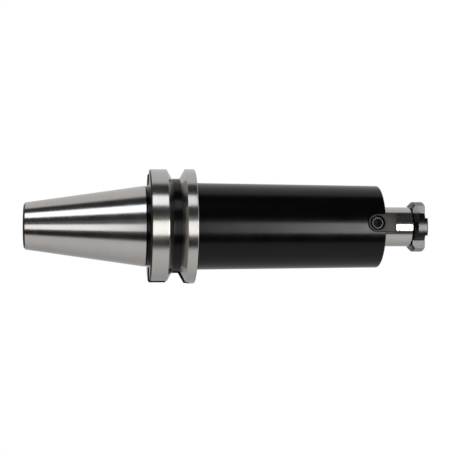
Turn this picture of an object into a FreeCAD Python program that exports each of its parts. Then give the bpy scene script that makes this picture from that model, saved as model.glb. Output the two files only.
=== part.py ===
import FreeCAD, Part
import os

import Sketcher
from FreeCAD import Placement, Rotation, Vector

# Shell mill holder with a 7/24 taper shank, size 40, and a 22 mm pilot.
# The shank axis is Z and the gauge plane is Z = 0. The taper points up, along +Z, and the
# nose hangs down, along -Z, as in a vertical spindle. The drive keys face -Y and +Y and the
# two spindle drive slots in the flange face +X and -X. All sizes are in millimetres.

SIZES = {
    # Taper shank, measured from the gauge plane
    "taper_length": 65.4,
    "gauge_diameter": 44.45,
    "taper_rise": 7.0,
    "taper_run": 24.0,
    "small_end_chamfer": 1.0,
    "neck_diameter": 43.2,
    # Bores for the pull stud in the small end
    "stud_pilot_diameter": 17.0,
    "stud_pilot_depth": 8.0,
    "stud_thread_diameter": 16.0,
    "stud_thread_depth": 32.0,
    "stud_mouth_chamfer": 0.8,
    "drill_point_angle": 118.0,
    # Flange with its gripper groove and spindle drive slots
    "flange_gap": 2.0,
    "flange_front": 27.0,
    "flange_diameter": 63.0,
    "flange_back_chamfer": 0.8,
    "flange_edge_chamfer": 0.3,
    "groove_centre": 16.6,
    "groove_width": 10.0,
    "groove_root_diameter": 53.0,
    "groove_angle": 60.0,
    "slot_width": 16.1,
    "slot_floor_radius": 22.6,
    # Body between the flange and the nose face
    "body_root_diameter": 47.8,
    "body_nose_diameter": 45.8,
    "body_root_flare": 1.2,
    "projection": 130.0,
    "nose_chamfer": 0.4,
    # Pilot that centres the cutter, and the thread in it
    "pilot_diameter": 22.0,
    "pilot_length": 19.0,
    "pilot_chamfer": 0.8,
    "lock_thread_diameter": 10.0,
    "lock_thread_depth": 34.0,
    "lock_mouth_chamfer": 0.6,
    "thread_clearance": 0.06,
    # Drive keys and the seats they are screwed into
    "key_width": 10.0,
    "key_stand_out": 5.8,
    "key_seat_length": 10.1,
    "key_seat_depth": 9.0,
    "key_recess": 0.6,
    "key_side_clearance": 0.04,
    "key_end_clearance": 0.35,
    "key_edge_chamfer": 0.35,
    # Cap screw that holds each drive key
    "cap_setback": 4.6,
    "cap_thread_diameter": 4.0,
    "cap_length": 10.0,
    "cap_head_diameter": 7.0,
    "cap_head_height": 4.0,
    "cap_head_chamfer": 0.4,
    "cap_tip_chamfer": 0.5,
    "cap_socket_flats": 3.0,
    "cap_socket_depth": 2.0,
    "cap_head_clearance": 0.6,
    "cap_head_sink": 4.6,
    "cap_hole_clearance": 0.25,
    "cap_tip_clearance": 0.6,
    # Lock screw that clamps the cutter
    "lock_head_diameter": 28.0,
    "lock_head_height": 7.0,
    "lock_back_chamfer": 1.5,
    "lock_front_chamfer": 0.4,
    "lock_arm_width": 15.0,
    "lock_rib_width": 9.7,
    "lock_step_depth": 1.5,
    "lock_shank_length": 26.0,
    "lock_tip_chamfer": 1.2,
    # How far the tightened lock screw's rib stands turned from the drive keys, in degrees
    "lock_turn": 5.7,
}

doc = FreeCAD.newDocument("shell_mill_holder")
sheet = doc.addObject("Spreadsheet::Sheet", "Sizes")
for row, (size_name, size) in enumerate(SIZES.items(), start=1):
    sheet.set(f"A{row}", size_name)
    sheet.set(f"B{row}", str(size))
    sheet.setAlias(f"B{row}", size_name)
doc.recompute()

# Places along the axis, from the gauge plane towards the nose, as sheet expressions
SMALL_END = "Sizes.taper_length"
SMALL_RADIUS = "(Sizes.gauge_diameter - Sizes.taper_length * Sizes.taper_rise / Sizes.taper_run) / 2"
TAPER_SLOPE = "Sizes.taper_rise / Sizes.taper_run / 2"
GROOVE_FLANK = (
    "(Sizes.flange_diameter - Sizes.groove_root_diameter) / 2 * tan(Sizes.groove_angle * 1deg / 2)"
)
GROOVE_HALF_ROOT = f"(Sizes.groove_width / 2 - {GROOVE_FLANK})"
NOSE = "Sizes.projection"
PILOT_END = "(Sizes.projection + Sizes.pilot_length)"
POINT_SLOPE = "tan(Sizes.drill_point_angle * 1deg / 2)"

# The lock thread's wall and the drive keys' seats
LOCK_BORE_RADIUS = "(Sizes.lock_thread_diameter / 2 + Sizes.thread_clearance)"
SEAT_FLOOR = "(Sizes.body_nose_diameter / 2 - Sizes.key_seat_depth)"
SEAT_HALF_WIDTH = "(Sizes.key_width / 2 + Sizes.key_side_clearance)"
KEY_HEIGHT = "(Sizes.key_seat_depth - Sizes.key_recess)"
CAP_SEAT = f"({SEAT_FLOOR} + {KEY_HEIGHT} - Sizes.cap_head_sink)"
CAP_PLACE = "(Sizes.projection - Sizes.cap_setback)"


def value_of(expression):
    """Return the number that an expression on the sheet stands for."""
    result = sheet.evalExpression(expression)
    return float(getattr(result, "Value", result))


def plane_of(body, role):
    """Return one of a body's own origin planes."""
    for feature in body.Origin.OriginFeatures:
        if feature.Role == role:
            return feature
    raise ValueError(f"{body.Label} has no {role}")


def new_body(name):
    """Start a sub-part whose label names its file."""
    body = doc.addObject("PartDesign::Body", name)
    body.Label = name
    return body


def new_sketch(body, name, role, height="0"):
    """Attach a sketch to an origin plane of the body, raised from it by an expression."""
    sketch = body.newObject("Sketcher::SketchObject", name)
    sketch.AttachmentSupport = [(plane_of(body, role), "")]
    sketch.MapMode = "FlatFace"
    sketch.setExpression("AttachmentOffset.Base.z", height)
    doc.recompute()
    return sketch


def hold(sketch, kind, geometry, point, expression):
    """Fix one coordinate of a sketch point by an expression."""
    index = sketch.addConstraint(
        Sketcher.Constraint(kind, -1, 1, geometry, point, value_of(expression))
    )
    sketch.setExpression(f"Constraints[{index}]", expression)


def add_outline(sketch, corners, arcs=None):
    """Draw a closed outline through corners given as pairs of expressions.

    An arc replaces the straight side that starts at its corner: arcs maps the corner's
    number to the x and y of the arc's centre and whether it turns left.
    """
    arcs = arcs or {}
    places = [Vector(value_of(x), value_of(y), 0) for x, y in corners]
    count = len(corners)
    starts = []
    for number in range(count):
        here = places[number]
        there = places[(number + 1) % count]
        if number in arcs:
            centre_x, centre_y, turns_left = arcs[number]
            centre = Vector(value_of(centre_x), value_of(centre_y), 0)
            first, last = (here, there) if turns_left else (there, here)
            circle = Part.Circle(centre, Vector(0, 0, 1), (here - centre).Length)
            side = Part.ArcOfCircle(circle, circle.parameter(first), circle.parameter(last))
            starts.append(1 if turns_left else 2)
        else:
            side = Part.LineSegment(here, there)
            starts.append(1)
        sketch.addGeometry(side, False)
    for number in range(count):
        after = (number + 1) % count
        end = 3 - starts[number]
        sketch.addConstraint(Sketcher.Constraint("Coincident", number, end, after, starts[after]))
    for number, (x, y) in enumerate(corners):
        hold(sketch, "DistanceX", number, starts[number], x)
        hold(sketch, "DistanceY", number, starts[number], y)
    for number, (centre_x, centre_y, turns_left) in arcs.items():
        across = abs(places[number].x - places[(number + 1) % count].x)
        along = abs(places[number].y - places[(number + 1) % count].y)
        if across > along:
            hold(sketch, "DistanceY", number, 3, centre_y)
        else:
            hold(sketch, "DistanceX", number, 3, centre_x)


def add_circle(sketch, x, y, radius):
    """Draw a circle whose centre and radius are expressions."""
    centre = Vector(value_of(x), value_of(y), 0)
    number = sketch.addGeometry(Part.Circle(centre, Vector(0, 0, 1), value_of(radius)), False)
    hold(sketch, "DistanceX", number, 3, x)
    hold(sketch, "DistanceY", number, 3, y)
    index = sketch.addConstraint(Sketcher.Constraint("Radius", number, value_of(radius)))
    sketch.setExpression(f"Constraints[{index}]", radius)


def revolve(body, name, corners):
    """Turn a half section, drawn as radius and height, about the body's Z axis."""
    sketch = new_sketch(body, f"{name}_section", "XZ_Plane")
    add_outline(sketch, corners)
    turned = body.newObject("PartDesign::Revolution", name)
    turned.Profile = sketch
    turned.ReferenceAxis = (sketch, ["V_Axis"])
    turned.Angle = 360.0
    doc.recompute()
    return turned


def add_length(body, kind, name, sketch, length, backwards):
    """Pad or pocket a sketch by a length, along its normal or backwards."""
    feature = body.newObject(f"PartDesign::{kind}", name)
    feature.Profile = sketch
    feature.setExpression("Length", length)
    feature.Reversed = backwards
    doc.recompute()
    return feature


def cut(body, name, sketch, length, backwards=False):
    """Pocket a sketch and make sure that it takes material away."""
    before = body.Shape.Volume
    feature = add_length(body, "Pocket", name, sketch, length, backwards)
    if body.Shape.Volume >= before - 1e-6:
        raise ValueError(f"{name} cuts nothing")
    return feature


def repeat_around(body, feature, name, copies):
    """Repeat a feature evenly about the body's Z axis."""
    axis = next(item for item in body.Origin.OriginFeatures if item.Role == "Z_Axis")
    pattern = body.newObject("PartDesign::PolarPattern", name)
    pattern.Originals = [feature]
    pattern.Axis = (axis, [""])
    pattern.Angle = 360.0
    pattern.Occurrences = copies
    body.Tip = pattern
    doc.recompute()
    return pattern


def make_holder_body():
    """Make the one-piece holder: taper shank, flange, body and pilot, with its bores."""
    body = new_body("holder_body")
    mouth = "Sizes.stud_pilot_diameter / 2"
    stud_bottom = f"({SMALL_END} - Sizes.stud_thread_depth)"
    stud_radius = "Sizes.stud_thread_diameter / 2"
    flange = "Sizes.flange_diameter / 2"
    edge = "Sizes.flange_edge_chamfer"
    back_edge = "Sizes.flange_back_chamfer"
    root = "Sizes.groove_root_diameter / 2"
    body_root = "Sizes.body_root_diameter / 2"
    body_nose = "Sizes.body_nose_diameter / 2"
    pilot = "Sizes.pilot_diameter / 2"
    bore_bottom = f"({PILOT_END} - Sizes.lock_thread_depth)"
    corners = [
        # Blind bore for the pull stud, from its drill point to its mouth
        ("0", f"{stud_bottom} - {stud_radius} / {POINT_SLOPE}"),
        (stud_radius, stud_bottom),
        (stud_radius, f"{SMALL_END} - Sizes.stud_pilot_depth"),
        (mouth, f"{SMALL_END} - Sizes.stud_pilot_depth"),
        (mouth, f"{SMALL_END} - Sizes.stud_mouth_chamfer"),
        (f"{mouth} + Sizes.stud_mouth_chamfer", SMALL_END),
        # Taper, from the chamfered small end to the gauge plane
        (f"{SMALL_RADIUS} - Sizes.small_end_chamfer", SMALL_END),
        (
            f"{SMALL_RADIUS} + Sizes.small_end_chamfer * {TAPER_SLOPE}",
            f"{SMALL_END} - Sizes.small_end_chamfer",
        ),
        ("Sizes.gauge_diameter / 2", "0"),
        ("Sizes.neck_diameter / 2", "-(Sizes.gauge_diameter - Sizes.neck_diameter) / 2"),
        ("Sizes.neck_diameter / 2", "-Sizes.flange_gap"),
        # Flange, with the gripper groove between its two rings
        (f"{flange} - {back_edge}", "-Sizes.flange_gap"),
        (flange, f"-(Sizes.flange_gap + {back_edge})"),
        (flange, "-(Sizes.groove_centre - Sizes.groove_width / 2)"),
        (root, f"-(Sizes.groove_centre - {GROOVE_HALF_ROOT})"),
        (root, f"-(Sizes.groove_centre + {GROOVE_HALF_ROOT})"),
        (flange, "-(Sizes.groove_centre + Sizes.groove_width / 2)"),
        (flange, f"-(Sizes.flange_front - {edge})"),
        (f"{flange} - {edge}", "-Sizes.flange_front"),
        # Body, from the flare at the flange to the nose face
        (f"{body_root} + Sizes.body_root_flare", "-Sizes.flange_front"),
        (body_root, "-(Sizes.flange_front + Sizes.body_root_flare)"),
        (body_nose, f"-({NOSE} - Sizes.nose_chamfer)"),
        (f"{body_nose} - Sizes.nose_chamfer", f"-{NOSE}"),
        # Pilot and the bore of the lock thread
        (pilot, f"-{NOSE}"),
        (pilot, f"-({PILOT_END} - Sizes.pilot_chamfer)"),
        (f"{pilot} - Sizes.pilot_chamfer", f"-{PILOT_END}"),
        (f"{LOCK_BORE_RADIUS} + Sizes.lock_mouth_chamfer", f"-{PILOT_END}"),
        (LOCK_BORE_RADIUS, f"-({PILOT_END} - Sizes.lock_mouth_chamfer)"),
        (LOCK_BORE_RADIUS, f"-{bore_bottom}"),
        ("0", f"-({bore_bottom} - {LOCK_BORE_RADIUS} / {POINT_SLOPE})"),
    ]
    revolve(body, "turned_blank", corners)

    half_slot = "Sizes.slot_width / 2"
    overrun = "Sizes.flange_back_chamfer"
    slot = new_sketch(body, "drive_slot_outline", "YZ_Plane", "Sizes.slot_floor_radius")
    slot_corners = [
        (half_slot, overrun),
        (f"-{half_slot}", overrun),
        (f"-{half_slot}", "-Sizes.groove_centre"),
        (half_slot, "-Sizes.groove_centre"),
    ]
    add_outline(slot, slot_corners, {2: ("0", "-Sizes.groove_centre", True)})
    slot_depth = "Sizes.flange_diameter / 2 - Sizes.slot_floor_radius + 1"
    drive_slot = cut(body, "drive_slot", slot, slot_depth, backwards=True)
    repeat_around(body, drive_slot, "drive_slots", 2)

    seat = new_sketch(body, "key_seat_outline", "XZ_Plane", SEAT_FLOOR)
    seat_centre = (
        f"-({NOSE} - Sizes.key_seat_length - Sizes.key_end_clearance + {SEAT_HALF_WIDTH})"
    )
    seat_corners = [
        (f"-{SEAT_HALF_WIDTH}", seat_centre),
        (f"-{SEAT_HALF_WIDTH}", f"-({NOSE} + 1)"),
        (SEAT_HALF_WIDTH, f"-({NOSE} + 1)"),
        (SEAT_HALF_WIDTH, seat_centre),
    ]
    add_outline(seat, seat_corners, {3: ("0", seat_centre, True)})
    key_seat = cut(body, "key_seat", seat, "Sizes.key_seat_depth + 2", backwards=True)
    repeat_around(body, key_seat, "key_seats", 2)

    tapped = new_sketch(body, "cap_thread_outline", "XZ_Plane", SEAT_FLOOR)
    tapped_radius = "Sizes.cap_thread_diameter / 2 + Sizes.thread_clearance"
    add_circle(tapped, "0", f"-{CAP_PLACE}", tapped_radius)
    tapped_depth = f"{SEAT_FLOOR} - {CAP_SEAT} + Sizes.cap_length + Sizes.cap_tip_clearance"
    cap_thread = cut(body, "cap_thread", tapped, tapped_depth)
    repeat_around(body, cap_thread, "cap_threads", 2)
    return body


def outward_place(body, height, along, turned):
    """Stand a body on the holder's side: its Z points outwards and its Y to the nose.

    The body faces -Y, or +Y when turned. Height is from the axis and along is from the
    gauge plane towards the nose.
    """
    side = 180.0 if turned else 0.0
    facing = Rotation(Vector(-1, 0, 0), Vector(0, 0, -1), Vector(0, -1, 0), "XYZ")
    body.Placement = Placement(Vector(0, 0, 0), Rotation(Vector(0, 0, 1), side) * facing)
    sign = "" if turned else "-"
    body.setExpression("Placement.Base.y", f"{sign}{height}")
    body.setExpression("Placement.Base.z", f"-{along}")


def outermost_face(shape, direction):
    """Return the name of the face that lies furthest along a direction."""
    names = range(len(shape.Faces))
    best = max(names, key=lambda index: shape.Faces[index].CenterOfMass.dot(direction))
    return f"Face{best + 1}"


def make_drive_key(number, turned):
    """Make a drive key, round at its rear end, with a counterbored screw hole."""
    body = new_body(f"drive_key_{number}")
    half = "Sizes.key_width / 2"
    rear = "-(Sizes.key_seat_length - Sizes.cap_setback)"
    front = "Sizes.cap_setback + Sizes.key_stand_out"
    outline = new_sketch(body, "key_outline", "XY_Plane")
    corners = [
        (f"-{half}", f"{rear} + {half}"),
        (half, f"{rear} + {half}"),
        (half, front),
        (f"-{half}", front),
    ]
    add_outline(outline, corners, {0: ("0", f"{rear} + {half}", True)})
    add_length(body, "Pad", "key_block", outline, KEY_HEIGHT, False)

    hole = new_sketch(body, "hole_outline", "XY_Plane")
    add_circle(hole, "0", "0", "Sizes.cap_thread_diameter / 2 + Sizes.cap_hole_clearance")
    cut(body, "screw_hole", hole, KEY_HEIGHT, backwards=True)
    counterbore = new_sketch(
        body, "counterbore_outline", "XY_Plane", f"{KEY_HEIGHT} - Sizes.cap_head_sink"
    )
    add_circle(counterbore, "0", "0", "Sizes.cap_head_diameter / 2 + Sizes.cap_head_clearance")
    bored = cut(body, "counterbore", counterbore, "Sizes.cap_head_sink", backwards=True)

    edges = body.newObject("PartDesign::Chamfer", "outer_edges")
    edges.Base = (bored, [outermost_face(bored.Shape, Vector(0, 0, 1))])
    edges.setExpression("Size", "Sizes.key_edge_chamfer")
    doc.recompute()
    outward_place(body, SEAT_FLOOR, CAP_PLACE, turned)
    return body


def make_key_screw(number, turned):
    """Make the socket head cap screw of a drive key, with its head's seat at Z = 0."""
    body = new_body(f"drive_key_screw_{number}")
    head = "Sizes.cap_head_diameter / 2"
    shank = "Sizes.cap_thread_diameter / 2"
    corners = [
        ("0", "-Sizes.cap_length"),
        (f"{shank} - Sizes.cap_tip_chamfer", "-Sizes.cap_length"),
        (shank, "-(Sizes.cap_length - Sizes.cap_tip_chamfer)"),
        (shank, "0"),
        (head, "0"),
        (head, "Sizes.cap_head_height - Sizes.cap_head_chamfer"),
        (f"{head} - Sizes.cap_head_chamfer", "Sizes.cap_head_height"),
        ("0", "Sizes.cap_head_height"),
    ]
    revolve(body, "turned_screw", corners)
    socket = new_sketch(
        body, "socket_outline", "XY_Plane", "Sizes.cap_head_height - Sizes.cap_socket_depth"
    )
    flat = "Sizes.cap_socket_flats / 2"
    point = "Sizes.cap_socket_flats / sqrt(3)"
    hexagon = [
        (point, "0"),
        (f"{point} / 2", flat),
        (f"-{point} / 2", flat),
        (f"-{point}", "0"),
        (f"-{point} / 2", f"-{flat}"),
        (f"{point} / 2", f"-{flat}"),
    ]
    add_outline(socket, hexagon)
    cut(body, "hex_socket", socket, "Sizes.cap_socket_depth", backwards=True)
    outward_place(body, CAP_SEAT, CAP_PLACE, turned)
    return body


def make_lock_screw():
    """Make the cutter's lock screw, head down, with the back of its head at Z = 0."""
    body = new_body("lock_screw")
    head = "Sizes.lock_head_diameter / 2"
    shank = "Sizes.lock_thread_diameter / 2"
    back = "Sizes.lock_back_chamfer"
    front = "Sizes.lock_front_chamfer"
    corners = [
        ("0", "Sizes.lock_head_height"),
        ("0", "-Sizes.lock_shank_length"),
        (f"{shank} - Sizes.lock_tip_chamfer", "-Sizes.lock_shank_length"),
        (shank, "-(Sizes.lock_shank_length - Sizes.lock_tip_chamfer)"),
        (shank, "0"),
        (f"{head} - {back}", "0"),
        (head, back),
        (head, f"Sizes.lock_head_height - {front}"),
        (f"{head} - {front}", "Sizes.lock_head_height"),
    ]
    revolve(body, "turned_screw", corners)

    # Four square notches leave the head as a cross of four arms
    arm = "Sizes.lock_arm_width / 2"
    notch = new_sketch(body, "notch_outline", "XY_Plane")
    notch_corners = [(arm, arm), (head, arm), (head, head), (arm, head)]
    add_outline(notch, notch_corners)
    first_notch = cut(body, "notch", notch, "Sizes.lock_head_height", backwards=True)
    repeat_around(body, first_notch, "notches", 4)

    # A step on each side leaves a raised rib across the front of two arms
    rib = "Sizes.lock_rib_width / 2"
    floor = "(Sizes.lock_head_height - Sizes.lock_step_depth)"
    step = new_sketch(body, "step_outline", "XY_Plane", floor)
    step_corners = [(rib, f"-{head}"), (arm, f"-{head}"), (arm, head), (rib, head)]
    add_outline(step, step_corners)
    first_step = cut(body, "step", step, "Sizes.lock_step_depth", backwards=True)
    repeat_around(body, first_step, "steps", 2)

    turned = Rotation(Vector(0, 0, 1), -value_of("Sizes.lock_turn"))
    facing_down = Rotation(Vector(1, 0, 0), 180.0)
    body.Placement = Placement(Vector(0, 0, 0), turned * facing_down)
    body.setExpression("Placement.Base.z", f"-{PILOT_END}")
    return body


subparts = [make_holder_body()]
for key_number, faces_back in ((1, False), (2, True)):
    subparts.append(make_drive_key(key_number, faces_back))
    subparts.append(make_key_screw(key_number, faces_back))
subparts.append(make_lock_screw())
doc.recompute()

for item in doc.Objects:
    if "Invalid" in item.State or "Error" in item.State:
        raise ValueError(f"{item.Label} did not recompute: {item.State}")
for subpart in subparts:
    if subpart.Shape.isNull() or not subpart.Shape.isValid():
        raise ValueError(f"{subpart.Label} has no valid shape")
    if len(subpart.Shape.Solids) != 1:
        raise ValueError(f"{subpart.Label} is not one solid")

os.makedirs("parts", exist_ok=True)
for subpart in subparts:
    subpart.Shape.exportStep(os.path.join("parts", f"{subpart.Label}.step"))
    box = subpart.Shape.BoundBox
    print(f"{subpart.Label}: {subpart.Shape.Volume / 1000:.2f} cm3, "
          f"z {box.ZMin:.2f} to {box.ZMax:.2f}, y {box.YMin:.2f} to {box.YMax:.2f}")
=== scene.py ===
"""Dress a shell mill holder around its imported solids: finishes, threads, studio and camera."""

import logging
import math
from dataclasses import dataclass
from enum import Enum
from typing import Callable

import bpy
from mathutils import Matrix, Vector

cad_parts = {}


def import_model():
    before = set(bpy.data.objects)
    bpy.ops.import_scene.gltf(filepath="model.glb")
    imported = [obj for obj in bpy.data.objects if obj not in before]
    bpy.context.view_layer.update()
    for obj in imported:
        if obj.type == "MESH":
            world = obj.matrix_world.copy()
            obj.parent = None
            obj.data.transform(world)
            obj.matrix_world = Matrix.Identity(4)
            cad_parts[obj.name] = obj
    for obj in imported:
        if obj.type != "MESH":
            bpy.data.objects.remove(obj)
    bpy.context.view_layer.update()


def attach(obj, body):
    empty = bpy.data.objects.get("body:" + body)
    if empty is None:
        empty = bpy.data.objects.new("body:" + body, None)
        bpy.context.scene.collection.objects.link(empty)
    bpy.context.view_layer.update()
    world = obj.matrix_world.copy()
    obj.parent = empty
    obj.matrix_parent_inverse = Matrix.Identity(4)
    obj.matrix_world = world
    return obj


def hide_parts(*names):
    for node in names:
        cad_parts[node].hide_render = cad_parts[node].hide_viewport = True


LOG = logging.getLogger("shell_mill_holder")
TURN = 2.0 * math.pi
HOLDER = "holder"
LOCK = "lock"
PROJECTION = 0.130  # from the gauge plane to the nose face
SEAT_FLOOR_RADIUS = 0.0139  # the floor of a drive key's seat
SCREW_SETBACK = 0.0046  # a key screw's axis behind the nose face
OVERRUN = 0.001  # how far a cutter passes the face that it cuts through
EDGE_BREAK = 0.00012
SEED_SIZE = 0.001  # the plane that a turned section or a thread's section starts from
MERGE_GAP = 1e-6
FINE_MERGE_GAP = 1e-7
WHITE = (1.0, 1.0, 1.0, 1.0)
NOISE_RANGE = (0.3, 0.7)  # where nearly all values of a noise texture lie
FLOOR_COLOUR = (0.9, 0.9, 0.9, 1.0)
FLOOR_GLOW = 0.35

HalfSection = list[tuple[float, float]]  # radius and height of each corner


class Finish(Enum):
    """The finishes on the object, by their material's name."""

    GROUND = "ground_steel"
    FLANGE = "ground_flange_steel"
    BLACK = "black_oxide"
    KEY = "black_oxide_key"
    SCREW = "black_oxide_screw"
    # Near-black and dull: painted shade in the slots, seats, holes and socket mouths, laid over
    # black oxide.
    PAINTED_SHADE = "painted_shade_recess"
    LOBE = "bright_matt_steel"
    FLOOR = "pale_floor"


@dataclass
class NodeBook:
    """A small helper that adds and links shader nodes in one tree."""

    tree: bpy.types.NodeTree

    def add(self, kind: str, **values: object) -> bpy.types.Node:
        """Add a node and set its properties.

        Args:
            kind: The node's type name.
            values: Properties of the node, by name.

        Returns:
            The new node.
        """
        node = self.tree.nodes.new(kind)
        for name, value in values.items():
            setattr(node, name, value)
        return node

    def feed(self, node: bpy.types.Node, socket: int | str, source: object) -> None:
        """Feed an input from another node's output, or set it to a plain value."""
        if isinstance(source, bpy.types.NodeSocket):
            self.tree.links.new(source, node.inputs[socket])
        else:
            node.inputs[socket].default_value = source

    def math(self, operation: str, *sources: object) -> bpy.types.NodeSocket:
        """Return the result of a Math node fed with sockets or numbers."""
        node = self.add("ShaderNodeMath", operation=operation)
        for index, source in enumerate(sources):
            self.feed(node, index, source)
        return node.outputs[0]

    def ramp(
        self, source: object, low: float, high: float, to_low: float, to_high: float
    ) -> bpy.types.NodeSocket:
        """Return a smooth step of a value from one range to another."""
        node = self.add("ShaderNodeMapRange", interpolation_type="SMOOTHSTEP")
        for index, item in enumerate((source, low, high, to_low, to_high)):
            self.feed(node, index, item)
        return node.outputs[0]

    def noise(
        self, vector: bpy.types.NodeSocket, scale: float, detail: float
    ) -> bpy.types.NodeSocket:
        """Return the value of a noise texture read at a vector."""
        node = self.add("ShaderNodeTexNoise")
        self.feed(node, "Vector", vector)
        self.feed(node, "Scale", scale)
        self.feed(node, "Detail", detail)
        return node.outputs[0]


@dataclass(frozen=True)
class SteelFinish:
    """A finish of turned or ground steel whose fine lay runs round the Z axis."""

    finish: Finish
    colour: tuple[float, float, float]
    roughness: float
    metallic: float = 0.0
    anisotropy: float = 0.0
    ior: float = 1.45
    tone_change: float = 0.05
    grain: float = 0.0
    lay_pitch: float = 0.00025
    lay_depth: float = 0.000002
    lay_detail: float = 3.0
    patch_scale: float = 90.0
    patch_detail: float = 4.0
    patch_share: float = 0.4
    grain_scale: float = 4000.0
    grain_detail: float = 2.0
    roughness_change: float = 0.08
    turn_round_axis: float = 0.25

    def read_lay(self, book: NodeBook, where: bpy.types.NodeSocket) -> bpy.types.NodeSocket:
        """Return a vector that runs slowly round the Z axis and fast along and across it."""
        apart = book.add("ShaderNodeSeparateXYZ")
        book.feed(apart, 0, where)
        across, deep, along = apart.outputs
        squares = [book.math("POWER", part, 2.0) for part in (across, deep)]
        radius = book.math("SQRT", book.math("ADD", *squares))
        around = book.math("ARCTAN2", across, deep)
        lay = book.add("ShaderNodeCombineXYZ")
        book.feed(lay, 0, book.math("DIVIDE", along, self.lay_pitch))
        book.feed(lay, 1, book.math("DIVIDE", radius, self.lay_pitch))
        book.feed(lay, 2, book.math("MULTIPLY", around, 2.0))
        return lay.outputs[0]

    def make(self) -> bpy.types.Material:
        """Build the material.

        Returns:
            The finished material.
        """
        material = bpy.data.materials.new(self.finish.value)
        material.use_nodes = True
        material.diffuse_color = (*self.colour, 1.0)
        book = NodeBook(material.node_tree)
        material.node_tree.nodes.clear()
        output = book.add("ShaderNodeOutputMaterial")
        shader = book.add("ShaderNodeBsdfPrincipled")
        book.feed(output, "Surface", shader.outputs[0])
        book.feed(shader, "Metallic", self.metallic)
        book.feed(shader, "Anisotropic", self.anisotropy)
        book.feed(shader, "Anisotropic Rotation", self.turn_round_axis if self.anisotropy else 0.0)
        book.feed(shader, "IOR", self.ior)
        where = book.add("ShaderNodeTexCoord").outputs["Object"]
        lines = book.noise(self.read_lay(book, where), 1.0, self.lay_detail)
        patches = book.noise(where, self.patch_scale, self.patch_detail)
        line_part = book.math("MULTIPLY", lines, 1.0 - self.patch_share)
        tone = book.math("ADD", line_part, book.math("MULTIPLY", patches, self.patch_share))
        level = book.ramp(tone, *NOISE_RANGE, 1.0 - self.tone_change, 1.0 + self.tone_change)
        tint = book.add("ShaderNodeVectorMath", operation="SCALE")
        book.feed(tint, 0, self.colour)
        book.feed(tint, "Scale", level)
        book.feed(shader, "Base Color", tint.outputs[0])
        smoothest = self.roughness * (1.0 - self.roughness_change)
        roughest = self.roughness * (1.0 + self.roughness_change)
        book.feed(shader, "Roughness", book.ramp(patches, *NOISE_RANGE, smoothest, roughest))
        height = lines
        if self.grain:
            grains = book.noise(where, self.grain_scale, self.grain_detail)
            height = book.math("ADD", lines, book.math("MULTIPLY", grains, self.grain))
        bump = book.add("ShaderNodeBump")
        book.feed(bump, "Strength", 1.0)
        book.feed(bump, "Distance", self.lay_depth)
        book.feed(bump, "Height", height)
        book.feed(shader, "Normal", bump.outputs[0])
        if self.anisotropy:
            tangent = book.add("ShaderNodeTangent", direction_type="RADIAL", axis="Z")
            book.feed(shader, "Tangent", tangent.outputs[0])
        return material


FINISHES = (
    SteelFinish(
        Finish.GROUND, (0.374, 0.358, 0.346), roughness=0.175, metallic=1.0, anisotropy=0.35
    ),
    SteelFinish(
        Finish.FLANGE, (0.370, 0.358, 0.340), roughness=0.21, metallic=1.0, anisotropy=0.50
    ),
    SteelFinish(
        Finish.BLACK, (0.0008, 0.0008, 0.0008), roughness=0.20, ior=1.25, tone_change=0.3, grain=0.4
    ),
    SteelFinish(
        Finish.KEY, (0.012, 0.0105, 0.009), roughness=0.5, ior=1.37, tone_change=0.2, grain=0.6
    ),
    SteelFinish(Finish.SCREW, (0.002, 0.002, 0.002), roughness=0.26, ior=1.40, tone_change=0.2),
    # Painted shade: near-black and barely glossy, so recessed walls mirror nothing.
    SteelFinish(Finish.PAINTED_SHADE, (0.001, 0.001, 0.001), roughness=0.6, ior=1.2, tone_change=0.2),
    SteelFinish(
        Finish.LOBE, (0.27, 0.275, 0.285), roughness=0.75, metallic=1.0, tone_change=0.12, grain=1.0
    ),
)


def clean_start() -> None:
    """Leave edit mode and deselect everything."""
    if bpy.context.object and bpy.context.object.mode != "OBJECT":
        bpy.ops.object.mode_set(mode="OBJECT")
    bpy.ops.object.select_all(action="DESELECT")


def pick(piece: bpy.types.Object) -> None:
    """Make a piece the only selected and active object."""
    clean_start()
    piece.select_set(True)
    bpy.context.view_layer.objects.active = piece


def settle(piece: bpy.types.Object) -> None:
    """Apply a piece's place, turn and scale to its mesh."""
    pick(piece)
    bpy.ops.object.transform_apply(location=True, rotation=True, scale=True)


def apply_modifiers(piece: bpy.types.Object) -> None:
    """Apply every modifier of a piece in order."""
    pick(piece)
    for modifier in list(piece.modifiers):
        bpy.ops.object.modifier_apply(modifier=modifier.name)


def close_up(piece: bpy.types.Object, gap: float) -> None:
    """Merge a piece's doubles and turn its normals outwards."""
    pick(piece)
    bpy.ops.object.mode_set(mode="EDIT")
    bpy.ops.mesh.select_all(action="SELECT")
    bpy.ops.mesh.remove_doubles(threshold=gap)
    bpy.ops.mesh.normals_make_consistent(inside=False)
    bpy.ops.object.mode_set(mode="OBJECT")


def turn_on_lathe(name: str, corners: HalfSection, steps: int) -> bpy.types.Object:
    """Turn a solid from its half section.

    Args:
        name: The piece's name.
        corners: Radius and height of each corner, from one end of the axis to the other.
        steps: The number of faces round the axis.

    Returns:
        The turned piece, closed, with its normals outwards.
    """
    clean_start()
    first_radius, first_height = corners[0]
    bpy.ops.mesh.primitive_plane_add(size=SEED_SIZE, location=(first_radius, 0.0, first_height))
    piece = bpy.context.object
    piece.name = name
    bpy.ops.object.transform_apply(location=True, rotation=True, scale=True)
    bpy.ops.object.mode_set(mode="EDIT")
    bpy.ops.mesh.select_all(action="SELECT")
    bpy.ops.mesh.merge(type="CENTER")
    for before, after in zip(corners, corners[1:]):
        step = (after[0] - before[0], 0.0, after[1] - before[1])
        bpy.ops.mesh.extrude_vertices_move(TRANSFORM_OT_translate={"value": step})
    bpy.ops.mesh.select_all(action="SELECT")
    bpy.ops.mesh.spin(steps=steps, angle=TURN, center=(0.0, 0.0, 0.0), axis=(0.0, 0.0, 1.0))
    close_up(piece, MERGE_GAP)
    return piece


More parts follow.
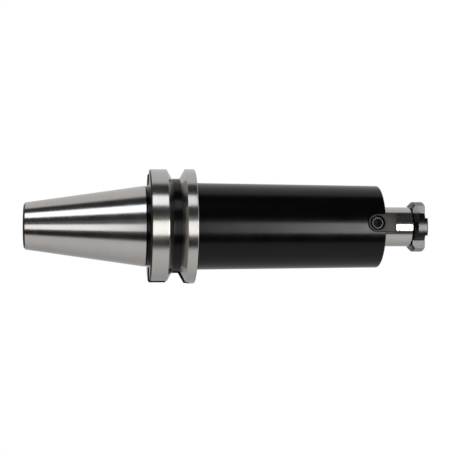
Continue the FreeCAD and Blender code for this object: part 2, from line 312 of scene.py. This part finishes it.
def rounded(corners: HalfSection, radius: float) -> HalfSection:
    """Break every sharp corner of a half section.

    A ring on each side of a break keeps the shading of the faces beside it flat.

    Args:
        corners: Radius and height of each corner.
        radius: How far the break reaches along each side.

    Returns:
        The corners with the sharp ones broken.
    """
    largest_share = 0.22
    ring_distance = 0.8
    flattest = math.radians(12.0)
    result = [corners[0]]
    for before, here, after in zip(corners, corners[1:], corners[2:]):
        arrive = Vector(here) - Vector(before)
        leave = Vector(after) - Vector(here)
        reach = min(radius, arrive.length * largest_share, leave.length * largest_share)
        if arrive.angle(leave) < flattest:
            result.append(here)
            continue
        back, ahead = arrive.normalized() * reach, leave.normalized() * reach
        start, end = Vector(here) - back, Vector(here) + ahead
        middle = (start + end) * 0.25 + Vector(here) * 0.5
        first_ring, last_ring = start - back * ring_distance, end + ahead * ring_distance
        result.extend(tuple(point) for point in (first_ring, start, middle, end, last_ring))
    result.append(corners[-1])
    return result


def arc(
    centre: tuple[float, float], radius: float, start: float, end: float, count: int
) -> HalfSection:
    """Return points of an arc in a half section, its ends included, with angles in degrees."""
    points = []
    for index in range(count + 1):
        angle = math.radians(start + (end - start) * index / count)
        points.append((centre[0] + radius * math.cos(angle), centre[1] + radius * math.sin(angle)))
    return points


def carve(piece: bpy.types.Object, cutter: bpy.types.Object, operation: str = "DIFFERENCE") -> None:
    """Cut a piece by another solid, or join it, and delete the other solid."""
    modifier = piece.modifiers.new("carve", "BOOLEAN")
    modifier.operation = operation
    modifier.solver = "EXACT"
    modifier.object = cutter
    modifier.material_mode = "TRANSFER"
    apply_modifiers(piece)
    bpy.data.objects.remove(cutter)


def smooth(piece: bpy.types.Object, degrees: float = 30.0) -> None:
    """Shade a piece smooth, apart from its sharp edges."""
    pick(piece)
    bpy.ops.object.shade_smooth_by_angle(angle=math.radians(degrees), keep_sharp_edges=False)


def add_block(name: str, low: Vector, high: Vector) -> bpy.types.Object:
    """Add a block between two corners, with its place in its mesh."""
    clean_start()
    bpy.ops.mesh.primitive_cube_add(size=1.0, location=(low + high) / 2)
    block = bpy.context.object
    block.name = name
    block.scale = high - low
    settle(block)
    return block


def add_rod(name: str, start: Vector, end: Vector, radius: float, sides: int) -> bpy.types.Object:
    """Add a rod between two points, with its place in its mesh."""
    clean_start()
    span = end - start
    bpy.ops.mesh.primitive_cylinder_add(
        vertices=sides, radius=radius, depth=span.length, location=(start + end) / 2
    )
    rod = bpy.context.object
    rod.name = name
    rod.rotation_mode = "QUATERNION"
    rod.rotation_quaternion = Vector((0.0, 0.0, 1.0)).rotation_difference(span)
    settle(rod)
    return rod


def round_ended(
    name: str, half: float, floor: float, top: float, centre: float, mouth: float, sides: int
) -> bpy.types.Object:
    """Make a block with one round end that faces +X, for a key or the cutter of a slot.

    Args:
        name: The block's name.
        half: Half of its width.
        floor: Its floor's distance from the axis.
        top: Its outer face's distance from the axis.
        centre: The height of the round end's centre.
        mouth: The height of the square end.
        sides: Faces round the whole end's circle.

    Returns:
        The block with its round end.
    """
    low = Vector((floor, -half, min(centre, mouth)))
    high = Vector((top, half, max(centre, mouth)))
    block = add_block(name, low, high)
    start, end = Vector((floor, 0.0, centre)), Vector((top, 0.0, centre))
    rod = add_rod("round_end", start, end, half, sides)
    carve(block, rod, "UNION")
    return block


def turned_about_z(piece: bpy.types.Object, degrees: float) -> bpy.types.Object:
    """Turn a piece's mesh about the Z axis and return the piece."""
    piece.data.transform(Matrix.Rotation(math.radians(degrees), 4, "Z"))
    return piece


@dataclass
class Dressing:
    """What every piece needs: its finishes, its place on a body, and a report when it is done."""

    materials: dict[Finish, bpy.types.Material]

    def paint(
        self,
        piece: bpy.types.Object,
        finishes: tuple[Finish, ...],
        choose: Callable[[Vector, Vector], Finish] | None = None,
    ) -> None:
        """Give each face of a piece one of its finishes.

        Args:
            piece: The piece.
            finishes: Its finishes, which become its slots in this order.
            choose: A function of a face's centre and normal that returns its finish. Without
                it every face has the first one.
        """
        piece.data.materials.clear()
        for finish in finishes:
            piece.data.materials.append(self.materials[finish])
        for face in piece.data.polygons:
            chosen = choose(face.center, face.normal) if choose else finishes[0]
            face.material_index = finishes.index(chosen)

    def finish(self, piece: bpy.types.Object, body: str, slot: str, *nodes: str) -> None:
        """Let a piece ride on its body and stand for its nodes."""
        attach(piece, body)
        if nodes:
            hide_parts(*nodes)
        LOG.info("%s rides on %s with %d faces", piece.name, body, len(piece.data.polygons))


@dataclass
class HolderBody:
    """The one-piece holder: taper shank, flange, body and pilot."""

    dressing: Dressing
    taper_length: float = 0.0654
    gauge_radius: float = 0.022225
    taper_slope: float = 7.0 / 48.0
    small_end_chamfer: float = 0.001
    neck_radius: float = 0.0216
    stud_pilot_radius: float = 0.0085
    stud_pilot_depth: float = 0.008
    stud_thread_radius: float = 0.008
    stud_thread_depth: float = 0.032
    stud_mouth_chamfer: float = 0.0008
    flange_gap: float = 0.002
    flange_front: float = 0.027
    flange_radius: float = 0.0315
    flange_back_chamfer: float = 0.0008
    flange_edge_chamfer: float = 0.0003
    groove_centre: float = 0.0166
    groove_half_width: float = 0.005
    groove_root_radius: float = 0.0265
    groove_flank_degrees: float = 30.0
    slot_half_width: float = 0.00805
    slot_floor_radius: float = 0.0226
    body_root_radius: float = 0.0239
    body_nose_radius: float = 0.0229
    body_fillet: float = 0.0012
    fillet_steps: int = 6
    nose_chamfer: float = 0.0004
    pilot_radius: float = 0.011
    pilot_length: float = 0.019
    pilot_chamfer: float = 0.0008
    lock_bore_radius: float = 0.00506
    lock_bore_depth: float = 0.034
    lock_mouth_chamfer: float = 0.0006
    drill_point_degrees: float = 59.0
    seat_half_width: float = 0.00504
    seat_rear_length: float = 0.01045
    screw_hole_radius: float = 0.00206
    screw_hole_bottom: float = 0.0071
    cutter_reach: float = 0.003
    facing_down: float = -0.9
    steps: int = 288
    slot_sides: int = 96
    seat_sides: int = 64
    hole_sides: int = 32

    def corners(self) -> HalfSection:
        """Return the half section, from the stud bore's point to the lock bore's point."""
        small_radius = self.gauge_radius - self.taper_length * self.taper_slope
        small_chamfer = self.small_end_chamfer
        point_slope = math.tan(math.radians(self.drill_point_degrees))
        stud_floor = self.taper_length - self.stud_thread_depth
        pilot_end = PROJECTION + self.pilot_length
        bore_floor = pilot_end - self.lock_bore_depth
        flank_slope = math.tan(math.radians(self.groove_flank_degrees))
        flank = (self.flange_radius - self.groove_root_radius) * flank_slope
        half_root = self.groove_half_width - flank
        fillet_centre = (
            self.body_root_radius + self.body_fillet, -self.flange_front - self.body_fillet
        )
        turned = [
            (0.0, stud_floor - self.stud_thread_radius / point_slope),
            (self.stud_thread_radius, stud_floor),
            (self.stud_thread_radius, self.taper_length - self.stud_pilot_depth),
            (self.stud_pilot_radius, self.taper_length - self.stud_pilot_depth),
            (self.stud_pilot_radius, self.taper_length - self.stud_mouth_chamfer),
            (self.stud_pilot_radius + self.stud_mouth_chamfer, self.taper_length),
            (small_radius - small_chamfer, self.taper_length),
            (small_radius + small_chamfer * self.taper_slope, self.taper_length - small_chamfer),
            (self.gauge_radius, 0.0),
            (self.neck_radius, self.neck_radius - self.gauge_radius),
            (self.neck_radius, -self.flange_gap),
            (self.flange_radius - self.flange_back_chamfer, -self.flange_gap),
            (self.flange_radius, -self.flange_gap - self.flange_back_chamfer),
            (self.flange_radius, self.groove_half_width - self.groove_centre),
            (self.groove_root_radius, half_root - self.groove_centre),
            (self.groove_root_radius, -half_root - self.groove_centre),
            (self.flange_radius, -self.groove_half_width - self.groove_centre),
            (self.flange_radius, self.flange_edge_chamfer - self.flange_front),
            (self.flange_radius - self.flange_edge_chamfer, -self.flange_front),
        ]
        nose = [
            (self.body_nose_radius, self.nose_chamfer - PROJECTION),
            (self.body_nose_radius - self.nose_chamfer, -PROJECTION),
            (self.pilot_radius, -PROJECTION),
            (self.pilot_radius, self.pilot_chamfer - pilot_end),
            (self.pilot_radius - self.pilot_chamfer, -pilot_end),
            (self.lock_bore_radius + self.lock_mouth_chamfer, -pilot_end),
            (self.lock_bore_radius, self.lock_mouth_chamfer - pilot_end),
            (self.lock_bore_radius, -bore_floor),
            (0.0, self.lock_bore_radius / point_slope - bore_floor),
        ]
        fillet = arc(fillet_centre, self.body_fillet, 90.0, 180.0, self.fillet_steps)
        return turned + fillet + nose

    def finish_of(self, centre: Vector, normal: Vector) -> Finish:
        """Return ground steel on the taper, the flange, the pilot and the nose face, else black."""
        radius = math.hypot(centre.x, centre.y)
        height = centre.z
        facing_out = normal.x * centre.x + normal.y * centre.y > 0.0
        if height > 0.0:
            before_end = height < self.taper_length - self.small_end_chamfer - EDGE_BREAK
            on_taper = facing_out and before_end and radius > self.stud_pilot_radius
            return Finish.GROUND if on_taper else Finish.BLACK
        on_flange = height < -self.flange_gap - self.flange_back_chamfer
        if on_flange and height > EDGE_BREAK - self.flange_front:
            above_root = radius > self.groove_root_radius + EDGE_BREAK
            return Finish.FLANGE if above_root else Finish.BLACK
        if height < -PROJECTION + EDGE_BREAK:
            on_face = radius > self.pilot_radius and normal.z < self.facing_down
            on_pilot = facing_out and radius > self.pilot_radius - self.pilot_chamfer
            return Finish.GROUND if on_face or on_pilot else Finish.BLACK
        return Finish.BLACK

    def make_slot_cutter(self) -> bpy.types.Object:
        """Return the cutter of the flange's drive slot that faces +X."""
        return round_ended(
            "drive_slot_cutter", self.slot_half_width, self.slot_floor_radius,
            self.flange_radius + self.cutter_reach, -self.groove_centre, OVERRUN, self.slot_sides,
        )

    def make_seat_cutter(self) -> bpy.types.Object:
        """Return the cutter of a drive key's seat that faces +X."""
        centre = self.seat_rear_length - self.seat_half_width - PROJECTION
        return round_ended(
            "key_seat_cutter", self.seat_half_width, SEAT_FLOOR_RADIUS,
            self.body_root_radius + self.cutter_reach, centre, -PROJECTION - 2.0 * OVERRUN,
            self.seat_sides,
        )

    def make_hole_cutter(self) -> bpy.types.Object:
        """Return the cutter of a key screw's hole that faces +X."""
        height = SCREW_SETBACK - PROJECTION
        start = Vector((self.screw_hole_bottom, 0.0, height))
        end = Vector((SEAT_FLOOR_RADIUS + OVERRUN, 0.0, height))
        return add_rod("screw_hole_cutter", start, end, self.screw_hole_radius, self.hole_sides)

    def make(self) -> bpy.types.Object:
        """Turn the blank, mill its slots and seats, and dress it.

        Returns:
            The holder's body.
        """
        corners = rounded(self.corners(), EDGE_BREAK)
        body = turn_on_lathe("holder_body_turned", corners, self.steps)
        finishes = (Finish.GROUND, Finish.BLACK, Finish.PAINTED_SHADE, Finish.FLANGE)
        self.dressing.paint(body, finishes, self.finish_of)
        for side in (0.0, 180.0):
            for make_cutter, turn in (
                (self.make_slot_cutter, side),
                (self.make_seat_cutter, side - 90.0),
                (self.make_hole_cutter, side - 90.0),
            ):
                cutter = make_cutter()
                # Slot, seat and hole walls: black oxide painted darker and duller as shade.
                self.dressing.paint(cutter, (Finish.PAINTED_SHADE,))
                carve(body, turned_about_z(cutter, turn))
        smooth(body)
        self.dressing.finish(body, HOLDER, "holder_steel", "holder_body")
        return body


@dataclass
class DriveKey:
    """A drive key, round at its rear end, with a counterbored hole for its cap screw."""

    dressing: Dressing
    half_width: float = 0.005
    height: float = 0.0084
    rear: float = 0.0101
    stand_out: float = 0.0058
    hole_radius: float = 0.00225
    counterbore_radius: float = 0.0041
    counterbore_rim: float = 0.0002
    head_sink: float = 0.0046
    rim_break: float = 0.00048
    rim_segments: int = 2
    bevel_facing: tuple[float, float] = (0.05, 0.99)
    depth_slack: float = 1e-6
    rim_slack: float = 1e-5
    flat_degrees: float = 0.5
    smooth_degrees: float = 40.0
    end_sides: int = 96
    hole_sides: int = 64

    def finish_of(self, centre: Vector, normal: Vector) -> Finish:
        """Return painted shade on the bevel that the key on +X has inside its seat, for the dark
        gap round the key.
        """
        least, most = self.bevel_facing
        from_screw = math.hypot(centre.y, centre.z + PROJECTION - SCREW_SETBACK)
        outside_hole = from_screw > self.counterbore_radius + self.counterbore_rim
        in_seat = centre.z > -PROJECTION and outside_hole
        # The bevel inside the seat is painted near-black as the shade of the gap round the key.
        return Finish.PAINTED_SHADE if in_seat and least < normal.x < most else Finish.KEY

    def on_rim(self, corner: Vector) -> bool:
        """Return whether a corner of the key on +X lies on the rim of its outer face."""
        if corner.x < SEAT_FLOOR_RADIUS + self.height - self.depth_slack:
            return False
        behind = corner.z + PROJECTION - self.rear + self.half_width
        if behind > 0.0:
            return math.hypot(corner.y, behind) > self.half_width - self.rim_slack
        at_front = corner.z < self.rim_slack - PROJECTION - self.stand_out
        return at_front or abs(corner.y) > self.half_width - self.rim_slack

    def break_outer_edge(self, key: bpy.types.Object) -> None:
        """Chamfer the outer face's rim, but not the mouth of its counterbore."""
        mesh = key.data
        weights = mesh.attributes.new("bevel_weight_edge", "FLOAT", "EDGE")
        for edge in mesh.edges:
            on_rim = all(self.on_rim(mesh.vertices[index].co) for index in edge.vertices)
            weights.data[edge.index].value = float(on_rim)
        bevel = key.modifiers.new("edge", "BEVEL")
        bevel.width = self.rim_break
        bevel.segments = self.rim_segments
        bevel.limit_method = "WEIGHT"
        bevel.use_clamp_overlap = False
        apply_modifiers(key)

    def make(self, number: int, side: float) -> bpy.types.Object:
        """Mill the key, drill it and dress it.

        Args:
            number: The key's number.
            side: Its turn about the Z axis from -Y, in degrees.

        Returns:
            The key.
        """
        outer = SEAT_FLOOR_RADIUS + self.height
        centre = self.rear - self.half_width - PROJECTION
        key = round_ended(
            f"drive_key_{number}_milled", self.half_width, SEAT_FLOOR_RADIUS,
            outer, centre, -PROJECTION - self.stand_out, self.end_sides,
        )
        screw_height = SCREW_SETBACK - PROJECTION
        for radius, depth in (
            (self.counterbore_radius, self.head_sink),
            (self.hole_radius, self.height + OVERRUN),
        ):
            start = Vector((outer - depth, 0.0, screw_height))
            end = Vector((outer + OVERRUN, 0.0, screw_height))
            carve(key, add_rod("key_drill", start, end, radius, self.hole_sides))
        pick(key)
        bpy.ops.object.mode_set(mode="EDIT")
        bpy.ops.mesh.select_all(action="SELECT")
        bpy.ops.mesh.dissolve_limited(angle_limit=math.radians(self.flat_degrees))
        bpy.ops.object.mode_set(mode="OBJECT")
        self.break_outer_edge(key)
        self.dressing.paint(key, (Finish.KEY, Finish.PAINTED_SHADE), self.finish_of)
        turned_about_z(key, side - 90.0)
        smooth(key, self.smooth_degrees)
        self.dressing.finish(key, HOLDER, "key_steel", f"drive_key_{number}")
        return key


@dataclass
class KeyScrew:
    """The socket head cap screw that holds a drive key."""

    dressing: Dressing
    seat_radius: float = 0.0177
    height: float = 0.1254
    head_radius: float = 0.0035
    head_height: float = 0.004
    shank_radius: float = 0.002
    shank_length: float = 0.010
    tip_chamfer: float = 0.0005
    head_chamfer: float = 0.0004
    socket_flats: float = 0.003
    socket_depth: float = 0.002
    socket_sides: int = 6
    mouth_radius: float = 0.0024
    mouth_depth: float = 0.0005
    steps: int = 64

    def finish_of(self, centre: Vector, _normal: Vector) -> Finish:
        """Return painted shade in the mouth of the socket."""
        in_head = centre.z > self.head_height / 2
        in_mouth = in_head and math.hypot(centre.x, centre.y) < self.mouth_radius
        # The socket's mouth is painted near-black as shade.
        return Finish.PAINTED_SHADE if in_mouth else Finish.SCREW

    def make(self, number: int, side: float) -> bpy.types.Object:
        """Turn the screw, broach its socket and dress it.

        Args:
            number: The screw's number.
            side: Its turn about the Z axis from -Y, in degrees.

        Returns:
            The screw.
        """
        corners = [
            (0.0, -self.shank_length),
            (self.shank_radius - self.tip_chamfer, -self.shank_length),
            (self.shank_radius, self.tip_chamfer - self.shank_length),
            (self.shank_radius, 0.0),
            (self.head_radius, 0.0),
            (self.head_radius, self.head_height - self.head_chamfer),
            (self.head_radius - self.head_chamfer, self.head_height),
            (self.mouth_radius, self.head_height),
            (self.mouth_radius - self.mouth_depth, self.head_height - self.mouth_depth),
            (0.0, self.head_height - self.mouth_depth),
        ]
        name = f"drive_key_screw_{number}_turned"
        screw = turn_on_lathe(name, rounded(corners, EDGE_BREAK), self.steps)
        self.dressing.paint(screw, (Finish.SCREW, Finish.PAINTED_SHADE), self.finish_of)
        start = Vector((0.0, 0.0, self.head_height - self.socket_depth))
        end = Vector((0.0, 0.0, self.head_height + OVERRUN))
        corner_radius = self.socket_flats / math.sqrt(3.0)
        broach = add_rod("hex_broach", start, end, corner_radius, self.socket_sides)
        # The hex socket's walls and floor are painted near-black as shade.
        self.dressing.paint(broach, (Finish.PAINTED_SHADE,))
        carve(screw, broach)
        screw.data.transform(Matrix.Rotation(math.radians(90.0), 4, "X"))
        screw.data.transform(Matrix.Translation((0.0, -self.seat_radius, -self.height)))
        turned_about_z(screw, side)
        smooth(screw)
        self.dressing.finish(screw, HOLDER, "screw_steel", f"drive_key_screw_{number}")
        return screw


@dataclass
class Thread:
    """A V thread as a helical ridge with closed ends, about the Z axis."""

    pitch: float
    outer_radius: float
    inner_radius: float
    start: float
    length: float
    internal: bool = False
    steps: int = 48
    half_base_share: float = 0.44
    half_tip_share: float = 0.07

    def make(self, name: str, dressing: Dressing, finish: Finish) -> bpy.types.Object:
        """Wind the ridge.

        Args:
            name: The piece's name.
            dressing: What paints it.
            finish: Its finish.

        Returns:
            The ridge as a closed mesh.
        """
        clean_start()
        crest, root = self.outer_radius, self.inner_radius
        if self.internal:
            crest, root = self.inner_radius, self.outer_radius
        half = self.pitch * self.half_base_share
        tip = self.pitch * self.half_tip_share
        bpy.ops.mesh.primitive_plane_add(size=SEED_SIZE)
        ridge = bpy.context.object
        ridge.name = name
        corners = ((root, -half), (crest, -tip), (root, half), (crest, tip))
        for vertex, (radius, height) in zip(ridge.data.vertices, corners):
            vertex.co = (radius, 0.0, height + self.start)
        screw = ridge.modifiers.new("wind", "SCREW")
        screw.axis = "Z"
        screw.angle = TURN
        screw.screw_offset = self.pitch
        screw.iterations = max(1, int(self.length / self.pitch))
        screw.steps = self.steps
        screw.render_steps = self.steps
        screw.use_merge_vertices = False
        apply_modifiers(ridge)
        close_up(ridge, FINE_MERGE_GAP)
        dressing.paint(ridge, (finish,))
        smooth(ridge)
        return ridge


@dataclass
class LockScrew:
    """The lock screw, with the cross of four arms of its head, and its thread."""

    dressing: Dressing
    seat: float = -0.149
    turn: float = -5.7
    head_radius: float = 0.014
    head_height: float = 0.007
    back_chamfer: float = 0.0015
    front_chamfer: float = 0.0004
    arm_half: float = 0.0075
    rib_half: float = 0.00485
    step_depth: float = 0.0015
    shank_length: float = 0.026
    thread_radius: float = 0.005
    root_radius: float = 0.0042
    pitch: float = 0.0015
    crest_clearance: float = 0.00002
    root_overlap: float = 0.0001
    thread_start: float = 0.0012
    thread_short: float = 0.0045
    tip_chamfer: float = 0.00072
    neck_radius: float = 0.0047
    neck_length: float = 0.0012
    neck_slope_end: float = 0.002
    edge_break: float = 0.00015
    slack: float = 1e-5
    facing_back: float = -0.3
    steps: int = 192

    def corners(self) -> HalfSection:
        """Return the half section, from the shank's tip to the front of the head."""
        return [
            (0.0, -self.shank_length),
            (self.root_radius - self.tip_chamfer, -self.shank_length),
            (self.root_radius, self.tip_chamfer - self.shank_length),
            (self.root_radius, -self.neck_slope_end),
            (self.neck_radius, -self.neck_length),
            (self.neck_radius, 0.0),
            (self.head_radius - self.back_chamfer, 0.0),
            (self.head_radius, self.back_chamfer),
            (self.head_radius, self.head_height - self.front_chamfer),
            (self.head_radius - self.front_chamfer, self.head_height),
            (0.0, self.head_height),
        ]

    def finish_of(self, centre: Vector, normal: Vector) -> Finish:
        """Return the bright finish on the head's two side arms; their backs get the black finish as
        painted shade.
        """
        on_arm = abs(centre.x) > self.arm_half + self.slack and centre.z > -self.slack
        painted_shade_back = normal.z < self.facing_back
        # Backs of the bright arms are painted black as shade.
        return Finish.LOBE if on_arm and not painted_shade_back else Finish.SCREW

    def mill_head(self, screw: bpy.types.Object) -> None:
        """Cut the four notches and the two steps beside the rib."""
        reach = self.head_radius + OVERRUN
        front = self.head_height + OVERRUN
        for turn in (0.0, 90.0, 180.0, 270.0):
            low = Vector((self.arm_half, self.arm_half, -OVERRUN / 2.0))
            notch = add_block("notch_cutter", low, Vector((reach, reach, front)))
            carve(screw, turned_about_z(notch, turn))
        for turn in (0.0, 180.0):
            low = Vector((self.rib_half, -reach, self.head_height - self.step_depth))
            step = add_block("step_cutter", low, Vector((self.arm_half, reach, front)))
            carve(screw, turned_about_z(step, turn))

    def make(self) -> bpy.types.Object:
        """Turn the screw, mill its head, wind its thread and dress it.

        Returns:
            The lock screw.
        """
        corners = rounded(self.corners(), self.edge_break)
        screw = turn_on_lathe("lock_screw_turned", corners, self.steps)
        self.mill_head(screw)
        thread = Thread(
            pitch=self.pitch,
            outer_radius=self.thread_radius - self.crest_clearance,
            inner_radius=self.root_radius - self.root_overlap,
            start=self.thread_start - self.shank_length,
            length=self.shank_length - self.thread_short,
        ).make("lock_screw_thread", self.dressing, Finish.SCREW)
        self.dressing.paint(screw, (Finish.SCREW, Finish.LOBE), self.finish_of)
        for piece in (screw, thread):
            piece.data.transform(Matrix.Rotation(math.radians(180.0), 4, "X"))
            piece.data.transform(Matrix.Translation((0.0, 0.0, self.seat)))
            smooth(turned_about_z(piece, self.turn))
        self.dressing.finish(screw, LOCK, "lock_screw_steel", "lock_screw")
        self.dressing.finish(thread, LOCK, "lock_screw_steel")
        return screw


@dataclass(frozen=True)
class Flag:
    """A dark card that the metal mirrors, by its angle round the part from the camera."""

    centre: float
    half_width: float
    edge: float
    level: float


@dataclass(frozen=True)
class SoftBox:
    """A soft lamp, by its angles from the camera round and along the part."""

    name: str
    around: float
    along: float
    width: float
    length: float
    brightness: float
    distance: float = 1.1
    colour: tuple[float, float, float] = (1.0, 1.0, 1.0)

    @property
    def energy(self) -> float:
        """The lamp's power for its brightness and size."""
        return self.brightness * math.pi * self.width * self.length


@dataclass
class Studio:
    """The pale floor, the soft light with its flags, and the camera."""

    materials: dict[Finish, bpy.types.Material]
    camera_azimuth: float = -5.7
    camera_elevation: float = 6.94
    camera_distance: float = 0.6372
    aim_height: float = -0.0458
    aim_drop: float = 0.0006
    focal_pixels: float = 1151.2
    camera_roll: float = 0.13
    picture_width: float = 455.0
    sensor: float = 36.0
    floor_height: float = -1.3
    floor_size: float = 2.2
    overhead_range: tuple[float, float] = (0.75, 0.95)
    flags: tuple[Flag, ...] = (
        Flag(centre=55.0, half_width=38.5, edge=5.5, level=0.04),
        Flag(centre=-32.2, half_width=12.0, edge=5.5, level=0.02),
        Flag(centre=-150.0, half_width=48.0, edge=42.0, level=0.62),
        Flag(centre=-3.0, half_width=22.0, edge=5.0, level=0.2),
    )
    lamps: tuple[SoftBox, ...] = (
        SoftBox("nose_lamp", around=-3.7, along=-24.0, width=0.52, length=0.28, brightness=19.5),
        SoftBox(
            "front_lamp", around=-3.7, along=1.0, width=0.54, length=0.20, brightness=3.3,
            colour=(0.98, 1.0, 0.97),
        ),
        SoftBox("shank_lamp", around=-4.7, along=23.5, width=0.38, length=0.31, brightness=2.2),
        SoftBox(
            "top_lamp", around=52.0, along=13.0, width=0.44, length=0.72, brightness=3.4,
            colour=(0.89, 0.94, 1.0),
        ),
    )

    def direction(self, around: float, along: float) -> Vector:
        """Return the direction at an angle round the part from the camera, towards +X."""
        turn = math.radians(self.camera_azimuth + around)
        lift = math.radians(along)
        level = math.cos(lift)
        return Vector((math.sin(turn) * level, -math.cos(turn) * level, math.sin(lift)))

    def make_floor(self) -> None:
        """Lay the pale floor, which keeps the object's shadow."""
        clean_start()
        bpy.ops.mesh.primitive_plane_add(
            size=self.floor_size, location=(0.0, 0.0, self.floor_height)
        )
        floor = bpy.context.object
        floor.name = "floor"
        floor.data.materials.append(self.materials[Finish.FLOOR])

    def make_world(self) -> None:
        """Light the part evenly, with dark flags for the metal to mirror."""
        world = bpy.data.worlds.new("soft_studio")
        bpy.context.scene.world = world
        world.use_nodes = True
        book = NodeBook(world.node_tree)
        world.node_tree.nodes.clear()
        where = book.add("ShaderNodeTexCoord").outputs["Generated"]
        apart = book.add("ShaderNodeSeparateXYZ")
        book.feed(apart, 0, where)
        backwards = book.math("MULTIPLY", apart.outputs[1], -1.0)
        angle = book.math("ARCTAN2", apart.outputs[0], backwards)
        angle = book.math("SUBTRACT", book.math("DEGREES", angle), self.camera_azimuth)
        level: object = 1.0
        for flag in self.flags:
            turned = book.math("WRAP", book.math("SUBTRACT", angle, flag.centre), 180.0, -180.0)
            away = book.math("ABSOLUTE", turned)
            dark_end, pale_start = flag.half_width - flag.edge, flag.half_width + flag.edge
            shade = book.ramp(away, dark_end, pale_start, flag.level, 1.0)
            level = book.math("MULTIPLY", level, shade)
        height = book.math("ABSOLUTE", apart.outputs[2])
        overhead = book.ramp(height, *self.overhead_range, 0.0, 1.0)
        level = book.math("MAXIMUM", level, overhead)
        studio = book.add("ShaderNodeBackground")
        book.feed(studio, "Color", WHITE)
        book.feed(studio, "Strength", level)
        plain = book.add("ShaderNodeBackground")
        book.feed(plain, "Color", WHITE)
        book.feed(plain, "Strength", 1.0)
        mix = book.add("ShaderNodeMixShader")
        book.feed(mix, 0, book.add("ShaderNodeLightPath").outputs["Is Camera Ray"])
        book.feed(mix, 1, studio.outputs[0])
        book.feed(mix, 2, plain.outputs[0])
        output = book.add("ShaderNodeOutputWorld")
        book.feed(output, 0, mix.outputs[0])

    def make_lamps(self) -> None:
        """Hang the soft lamps round the part."""
        aim = Vector((0.0, 0.0, self.aim_height))
        for box in self.lamps:
            data = bpy.data.lights.new(box.name, "AREA")
            data.shape = "RECTANGLE"
            data.size = box.width
            data.size_y = box.length
            data.energy = box.energy
            data.color = box.colour
            lamp = bpy.data.objects.new(box.name, data)
            bpy.context.scene.collection.objects.link(lamp)
            way = self.direction(box.around, box.along)
            lamp.location = aim + way * box.distance
            lamp.rotation_mode = "QUATERNION"
            lamp.rotation_quaternion = way.to_track_quat("Z", "Y")

    def make_camera(self) -> None:
        """Set the camera at the photograph's angle, with the shank at the left."""
        data = bpy.data.cameras.new("camera")
        data.sensor_width = self.sensor
        data.lens = self.focal_pixels / self.picture_width * self.sensor
        camera = bpy.data.objects.new("camera", data)
        bpy.context.scene.collection.objects.link(camera)
        back = self.direction(0.0, self.camera_elevation)
        down = Vector((0.0, 0.0, -1.0))
        right = (down - back * down.dot(back)).normalized()
        up = back.cross(right)
        roll = math.radians(self.camera_roll)
        cosine, sine = math.cos(roll), math.sin(roll)
        right, up = right * cosine + up * sine, up * cosine - right * sine
        aim = Vector((0.0, 0.0, self.aim_height)) - up * self.aim_drop
        turn = Matrix((right, up, back)).transposed().to_4x4()
        camera.matrix_world = Matrix.Translation(aim + back * self.camera_distance) @ turn
        bpy.context.scene.camera = camera

    def make(self) -> None:
        """Build the whole studio."""
        self.make_floor()
        self.make_world()
        self.make_lamps()
        self.make_camera()
        bpy.context.scene.view_settings.view_transform = "Standard"


def make_floor_material() -> bpy.types.Material:
    """Return the floor's material: pale, and plain white to the camera where it is lit."""
    material = bpy.data.materials.new(Finish.FLOOR.value)
    material.use_nodes = True
    book = NodeBook(material.node_tree)
    material.node_tree.nodes.clear()
    matt = book.add("ShaderNodeBsdfDiffuse")
    book.feed(matt, "Color", FLOOR_COLOUR)
    glow = book.add("ShaderNodeEmission")
    paths = book.add("ShaderNodeLightPath")
    seen = book.math("MAXIMUM", paths.outputs["Is Camera Ray"], paths.outputs["Is Glossy Ray"])
    book.feed(glow, "Strength", book.math("MULTIPLY", seen, FLOOR_GLOW))
    both = book.add("ShaderNodeAddShader")
    book.feed(both, 0, matt.outputs[0])
    book.feed(both, 1, glow.outputs[0])
    output = book.add("ShaderNodeOutputMaterial")
    book.feed(output, "Surface", both.outputs[0])
    return material


def main() -> None:
    """Build the studio and every piece, in order."""
    logging.basicConfig(level=logging.INFO, format="%(name)s: %(message)s")
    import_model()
    materials = {item.finish: item.make() for item in FINISHES}
    materials[Finish.FLOOR] = make_floor_material()
    Studio(materials).make()
    dressing = Dressing(materials)
    HolderBody(dressing).make()
    for number, side in ((1, 0.0), (2, 180.0)):
        DriveKey(dressing).make(number, side)
        KeyScrew(dressing).make(number, side)
    LockScrew(dressing).make()
    stud_thread = Thread(
        pitch=0.002, outer_radius=0.00801, inner_radius=0.0071, start=0.0345, length=0.021,
        internal=True,
    )
    ridge = stud_thread.make("pull_stud_thread", dressing, Finish.BLACK)
    dressing.finish(ridge, HOLDER, "holder_steel")


if __name__ == "__main__":
    main()
